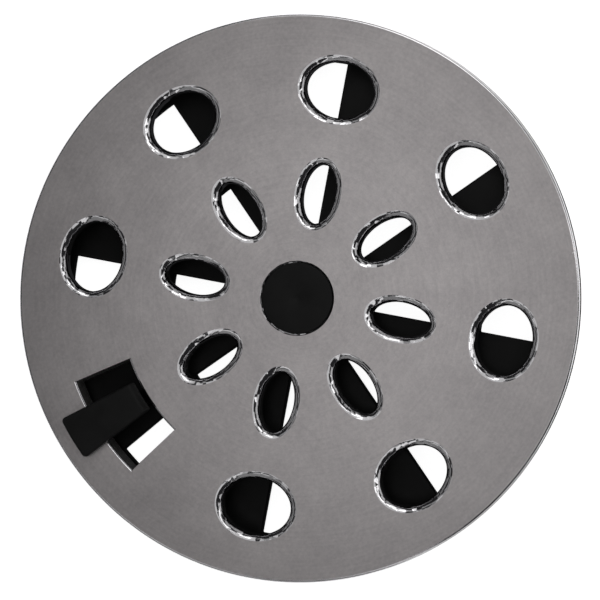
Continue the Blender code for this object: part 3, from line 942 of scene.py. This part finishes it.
def make_pin(plastic):
    """Headed pin with the small dimple of its moulding gate in the middle."""
    end = FACE - PIN_LOW.z
    profile = list(GATE_MARK)
    profile += quarter_round(PIN_HEAD_RADIUS - PIN_EDGE, PIN_EDGE, PIN_EDGE, 90.0, 4)
    profile += [
        (PIN_HEAD_RADIUS, PIN_HEAD_THICKNESS),
        (PIN_RADIUS, PIN_HEAD_THICKNESS),
        (PIN_RADIUS, end - PIN_EDGE),
        (PIN_RADIUS - PIN_EDGE, end),
        (PIN_PILOT_RADIUS, end),
        (PIN_PILOT_RADIUS, PIN_PILOT_END_DEPTH),
        (0.0, PIN_PILOT_END_DEPTH),
    ]
    pin = turned("centre_pin", profile, SMALL_ROUND_STEPS)
    shade(pin)
    dress(pin, "pivot_pin", "black_plastic", "grate", plastic)


def make_wave_washer(steel):
    bm = bmesh.new()
    middle = (WAVE_LOW.z + WAVE_HIGH.z) / 2
    rings = []
    for radius in (WAVE_INNER_RADIUS, WAVE_HIGH.x):
        ring = []
        for step in range(ROUND_STEPS):
            angle = math.tau * step / ROUND_STEPS
            z = middle + WAVE_AMPLITUDE * math.sin(WAVE_COUNT * angle)
            ring.append(bm.verts.new((radius * math.cos(angle), radius * math.sin(angle), z)))
        rings.append(ring)
    inner, outer = rings
    for index in range(ROUND_STEPS):
        following = (index + 1) % ROUND_STEPS
        bm.faces.new((inner[index], outer[index], outer[following], inner[following]))
    washer = new_object("spring_washer", mesh_from("spring_washer", bm))
    solidify = washer.modifiers.new("thickness", "SOLIDIFY")
    solidify.thickness = WAVE_THICKNESS
    solidify.offset = 0.0
    apply_modifiers(washer)
    shade(washer)
    dress(washer, "wave_washer", "stainless_steel", "grate", steel)


def make_flat_washer(steel):
    top = FACE - WASHER_HIGH.z
    bottom = FACE - WASHER_LOW.z
    outer = WASHER_HIGH.x
    profile = [(FLAT_WASHER_BORE_RADIUS, top)]
    profile += quarter_round(outer - WASHER_EDGE, top + WASHER_EDGE, WASHER_EDGE, 90.0, 3)
    profile += quarter_round(outer - WASHER_EDGE, bottom - WASHER_EDGE, WASHER_EDGE, 0.0, 3)
    profile.append((FLAT_WASHER_BORE_RADIUS, bottom))
    washer = turned("plain_washer", profile, SMALL_ROUND_STEPS, True)
    shade(washer)
    dress(washer, "flat_washer", "stainless_steel", "grate", steel)


def drive_recess(end):
    """Cross recess whose arms narrow towards its bottom."""
    long_half = DRIVE_HALF_LENGTH
    short_half = DRIVE_HALF_WIDTH
    arm = [(long_half, -short_half), (long_half, short_half), (short_half, short_half)]
    outline = [placed(corner, quarter * math.pi / 2) for quarter in range(4) for corner in arm]
    narrow = [(DRIVE_END_SHARE * x, DRIVE_END_SHARE * y) for x, y in outline]
    bm = bmesh.new()
    add_loft(bm, [(outline, end + CUT_MARGIN), (outline, end), (narrow, end - DRIVE_DEPTH)])
    return mesh_from("drive", bm)


def make_screw(steel):
    end = FACE - SCREW_LOW.z
    start = FACE - SCREW_HIGH.z
    seat = end - SCREW_HEAD_HEIGHT
    head_radius = SCREW_HIGH.x
    dome = SCREW_DOME_SHARE * SCREW_HEAD_HEIGHT
    profile = [
        (0.0, start),
        (SCREW_RADIUS / 2, start),
        (SCREW_RADIUS, start + SCREW_RADIUS / 2),
        (SCREW_RADIUS, seat),
        (head_radius, seat),
    ]
    profile += quarter_round(head_radius - dome, end - dome, dome, 0.0, 8)
    profile.append((0.0, end))
    screw = turned("pan_head_screw", profile, SMALL_ROUND_STEPS)
    boolean(screw, drive_recess(end), "DIFFERENCE")
    shade(screw)
    dress(screw, "retaining_screw", "stainless_steel", "grate", steel)


# ---------------------------------------------------------------- camera, light, floor

def view_axes():
    """Camera axes in the part's frame: right, up and back, as a matrix's rows."""
    tilt = Matrix.Rotation(CAMERA_TILT, 3, "Y")
    pitch = Matrix.Rotation(CAMERA_PITCH, 3, "X")
    roll = Matrix.Rotation(CAMERA_ROLL, 3, "Z")
    return tilt @ pitch @ roll


def make_camera():
    right, up, back = view_axes()
    data = bpy.data.cameras.new("camera")
    data.sensor_width = 36.0
    data.lens = CAMERA_LENS
    data.clip_start = 0.01
    data.clip_end = 20.0
    camera = link(bpy.data.objects.new("camera", data))
    centre = Vector((0.0, 0.0, FACE))
    place = centre - right * VIEW_SHIFT[0] - up * VIEW_SHIFT[1] + back * CAMERA_DISTANCE
    turn = Matrix((right, up, back)).transposed()
    camera.matrix_world = Matrix.Translation(place) @ turn.to_4x4()
    bpy.context.scene.camera = camera


def from_view(across, above):
    """A direction given by its degrees to the right of the camera's axis and above it."""
    right, up, back = view_axes()
    away = math.radians(math.hypot(across, above))
    around = math.atan2(above, across)
    sideways = right * math.cos(around) + up * math.sin(around)
    return (back * math.cos(away) + sideways * math.sin(away)).normalized()


def soft_panel(name, across, above, wide, tall, brightness, roll=0.0, distance=PANEL_DISTANCE):
    """Softbox that the part's centre sees this many degrees wide and tall."""
    direction = from_view(across, above)
    data = bpy.data.lights.new(name, "AREA")
    data.shape = "RECTANGLE"
    data.size = 2.0 * distance * math.tan(math.radians(wide / 2))
    data.size_y = 2.0 * distance * math.tan(math.radians(tall / 2))
    data.energy = POWER_FOR_UNIT_GLOW * brightness * data.size * data.size_y
    light = link(bpy.data.objects.new(name, data))
    right, up, back = view_axes()
    spin = math.radians(roll)
    top = up * math.cos(spin) + right * math.sin(spin)
    side = top.cross(direction).normalized()
    turn = Matrix((side, direction.cross(side), direction)).transposed()
    place = Vector((0.0, 0.0, FACE)) + direction * distance
    light.matrix_world = Matrix.Translation(place) @ turn.to_4x4()
    light.visible_camera = False


def make_lights():
    near = NEAR_PANEL_DISTANCE
    soft_panel("ceiling_panel", across=-6, above=22, wide=38, tall=76, brightness=0.43, distance=near)
    soft_panel("key_panel", across=-3, above=32, wide=18, tall=26, brightness=0.95, distance=near)
    soft_panel("left_strip", across=-37, above=8, wide=11, tall=60, brightness=0.21)
    soft_panel("far_left_panel", across=-76, above=6, wide=26, tall=50, brightness=0.13)
    soft_panel("right_strip", across=27, above=9, wide=50, tall=9, brightness=0.9)
    soft_panel("right_panel", across=72, above=12, wide=50, tall=52, brightness=0.38)
    soft_panel("upper_right_panel", across=30, above=62, wide=36, tall=24, brightness=0.25)
    soft_panel("low_strip", across=4, above=-50, wide=9, tall=76, brightness=0.6, roll=-24)
    soft_panel("low_left_panel", across=-35, above=-55, wide=44, tall=70, brightness=0.15)
    soft_panel("low_left_card", across=-30, above=-24, wide=15, tall=17, brightness=0.26)
    world = bpy.data.worlds.new("studio")
    bpy.context.scene.world = world
    world.use_nodes = True
    background = world.node_tree.nodes["Background"]
    background.inputs["Color"].default_value = (0.95, 0.95, 1.0, 1.0)
    background.inputs["Strength"].default_value = 0.018


def glowing_material(name, strength):
    n = Nodes(name)
    n.set(Base_Color=(0.9, 0.9, 0.9, 1.0), Roughness=0.9)
    n.set(Emission_Color=(1.0, 1.0, 1.0, 1.0), Emission_Strength=strength)
    return n


def shine_towards(n, direction, low, high):
    """Makes a glowing material brighter on one side of the part than on the other."""
    unit = n.new("ShaderNodeVectorMath", operation="NORMALIZE")
    n.link(n.object_space, unit.inputs[0])
    share = n.new("ShaderNodeVectorMath", operation="DOT_PRODUCT")
    n.link(unit.outputs["Vector"], share.inputs[0])
    share.inputs[1].default_value = direction
    strength = n.ranged(share.outputs["Value"], low, high, from_low=-0.5, from_high=0.8)
    n.link(strength, n.shader.inputs["Emission Strength"])


def make_floor():
    """Pale floor that the camera sees, and a glowing ring of it that only the metal mirrors."""
    bm = bmesh.new()
    bmesh.ops.create_grid(bm, x_segments=1, y_segments=1, size=FLOOR_REACH)
    floor = new_object("floor", mesh_from("floor", bm))
    floor.location.z = -FLOOR_GAP
    floor.data.materials.append(glowing_material("pale_floor", 0.95).material)
    floor.visible_glossy = False
    floor.visible_diffuse = False
    ring = [(radius, FACE) for radius in SURROUND_RADII]
    surround = turned("floor_surround", ring, SURROUND_STEPS)
    glow = glowing_material("floor_surround", SURROUND_GLOW[0])
    right, up, back = view_axes()
    shine_towards(glow, (right + up).normalized(), *SURROUND_GLOW)
    surround.data.materials.append(glow.material)
    surround.location.z = -FLOOR_GAP / 2
    surround.visible_camera = False
    surround.visible_diffuse = False
    surround.visible_shadow = False


make_camera()
make_lights()
make_floor()
bpy.context.scene.view_settings.view_transform = "Standard"

BLACK = moulded_plastic("black_plastic", dark=0.0040, light=0.0062, rough=0.40)
WORN_BLACK = moulded_plastic("handled_black_plastic", dark=0.0088, light=0.0140, rough=0.42)
STEEL = turned_steel()
make_plate()
make_shutter(BLACK)
make_lever(WORN_BLACK)
make_pin(WORN_BLACK)
make_wave_washer(STEEL)
make_flat_washer(STEEL)
make_screw(STEEL)
